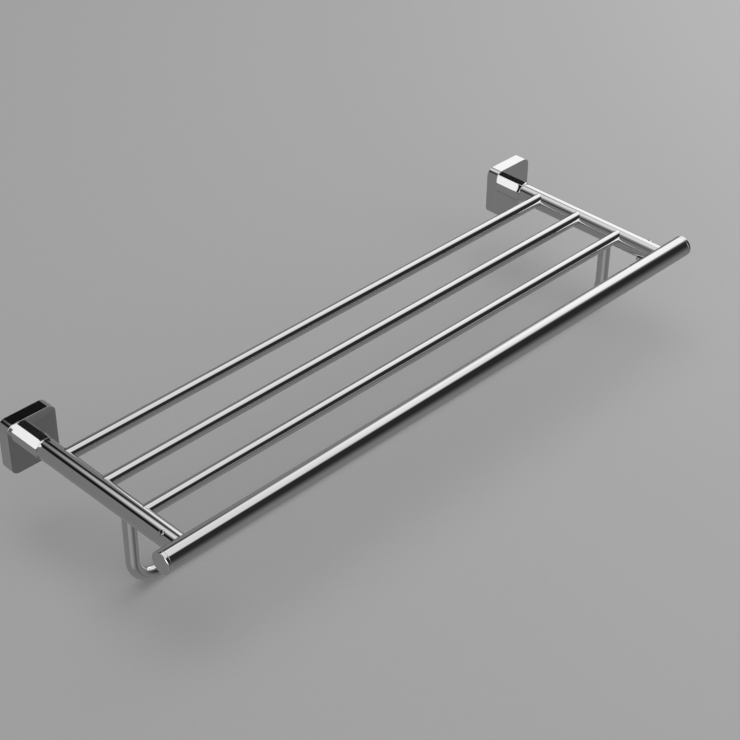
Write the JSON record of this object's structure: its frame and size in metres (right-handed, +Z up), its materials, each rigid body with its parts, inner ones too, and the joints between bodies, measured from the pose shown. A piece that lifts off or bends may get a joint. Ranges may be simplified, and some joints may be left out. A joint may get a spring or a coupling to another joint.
{
  "type": "towel bar",
  "caption": "Wall mounted chrome towel shelf: parallel round rails carried by two arms on nearly square wall plates, with a U shaped towel bar hanging below.",
  "frame": {"origin": "on the wall plane, midway between the two wall plates and level with the axis of the arms", "axes": "+X along the wall to the right as seen from the room, +Y into the wall, +Z up; the rack reaches towards -Y"},
  "size_m": [0.6534, 0.2178, 0.1111],
  "materials": {
    "tube_chrome": "bright polished chrome plate on drawn tube",
    "plate_chrome": "bright polished chrome plate on a cast cover",
    "cap_chrome": "polished chrome with fine turning marks",
    "plug_chrome": "turned and chrome plated",
    "screw_chrome": "chrome plated screw",
    "screw_steel": "zinc plated steel",
    "bracket_steel": "bent sheet steel, zinc plated",
    "turned_brass": "turned brass"
  },
  "bodies": {
    "root": {"right_wall_bracket": "bracket_steel", "left_wall_bracket": "bracket_steel", "right_wall_plate": "plate_chrome", "left_wall_plate": "plate_chrome", "right_plate_grub_screw": "screw_steel", "left_plate_grub_screw": "screw_steel", "right_collar": "plate_chrome", "left_collar": "plate_chrome", "right_arm_bolt": "screw_steel", "left_arm_bolt": "screw_steel", "right_arm_rear_plug": "turned_brass", "left_arm_rear_plug": "turned_brass", "right_arm": "tube_chrome", "left_arm": "tube_chrome", "right_arm_front_plug": "plug_chrome", "left_arm_front_plug": "plug_chrome", "right_lock_screw": "screw_chrome", "left_lock_screw": "screw_chrome", "right_rail_stud": "screw_steel", "left_rail_stud": "screw_steel", "right_rail_insert": "turned_brass", "left_rail_insert": "turned_brass", "rear_rail": "tube_chrome", "middle_rail": "tube_chrome", "inner_front_rail": "tube_chrome", "right_rail_spigots": "turned_brass", "left_rail_spigots": "turned_brass", "front_rail": "tube_chrome", "right_end_cap": "cap_chrome", "left_end_cap": "cap_chrome", "towel_bar": "tube_chrome", "right_bar_spigot": "turned_brass", "left_bar_spigot": "turned_brass"}
  },
  "joints": []
}
